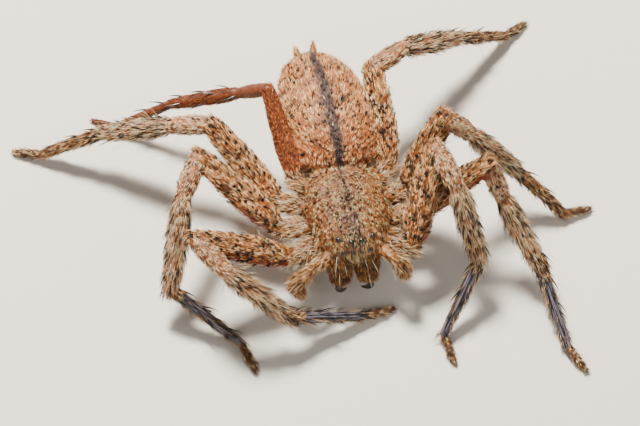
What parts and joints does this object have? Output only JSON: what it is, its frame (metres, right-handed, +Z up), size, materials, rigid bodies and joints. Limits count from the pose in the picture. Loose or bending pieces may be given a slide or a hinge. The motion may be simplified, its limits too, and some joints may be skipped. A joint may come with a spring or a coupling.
{
  "type": "huntsman spider",
  "caption": "Life-size still model of a mottled brown huntsman spider with raised knees and spread bristly legs, resting on the flats under its feet.",
  "frame": {"origin": "centre of the bounding box on the floor that the feet rest on", "axes": "+Z up, head toward -Y, the spider's left side toward +X"},
  "size_m": [0.0638, 0.0454, 0.0155],
  "materials": {
    "body_coat": "short dense hair, rosy tan with dark dots",
    "leg_coat": "bristly tan hair over ochre skin",
    "foot_coat": "thin tan hair over grey-violet skin with black streaks",
    "leg_rust": "nearly bare rust-red skin, satin",
    "jaw": "yellow-brown horn, semi-gloss",
    "black_horn": "black horn, glossy",
    "eye": "black, mirror-smooth"
  },
  "bodies": {
    "root": {"prosoma": "body_coat", "pedicel": "leg_rust", "abdomen": "body_coat", "spinneret_r": "body_coat", "spinneret_l": "body_coat", "chelicera_r": "jaw", "fang_r": "black_horn", "palp_r_femur": "leg_coat", "palp_r_tibia": "leg_coat", "palp_r_tarsus": "leg_coat", "chelicera_l": "jaw", "fang_l": "black_horn", "palp_l_femur": "leg_coat", "palp_l_tibia": "leg_coat", "palp_l_tarsus": "leg_coat", "eye_front_middle_r": "eye", "eye_front_middle_l": "eye", "eye_front_side_r": "eye", "eye_front_side_l": "eye", "eye_rear_middle_r": "eye", "eye_rear_middle_l": "eye", "eye_rear_side_r": "eye", "eye_rear_side_l": "eye", "leg_r1_coxa": "leg_coat", "leg_r1_femur": "leg_coat", "leg_r1_shank": "leg_coat", "leg_r1_foot": "foot_coat", "leg_r2_coxa": "leg_coat", "leg_r2_femur": "leg_coat", "leg_r2_shank": "leg_coat", "leg_r2_foot": "foot_coat", "leg_r3_coxa": "leg_coat", "leg_r3_femur": "leg_coat", "leg_r3_shank": "leg_coat", "leg_r3_foot": "foot_coat", "leg_r4_coxa": "leg_rust", "leg_r4_femur": "leg_rust", "leg_r4_shank": "leg_rust", "leg_r4_foot": "leg_rust", "leg_l1_coxa": "leg_coat", "leg_l1_femur": "leg_coat", "leg_l1_shank": "leg_coat", "leg_l1_foot": "foot_coat", "leg_l2_coxa": "leg_coat", "leg_l2_femur": "leg_coat", "leg_l2_shank": "leg_coat", "leg_l2_foot": "foot_coat", "leg_l3_coxa": "leg_coat", "leg_l3_femur": "leg_coat", "leg_l3_shank": "leg_coat", "leg_l3_foot": "foot_coat", "leg_l4_coxa": "leg_coat", "leg_l4_femur": "leg_coat", "leg_l4_shank": "leg_coat", "leg_l4_foot": "foot_coat"}
  },
  "joints": []
}
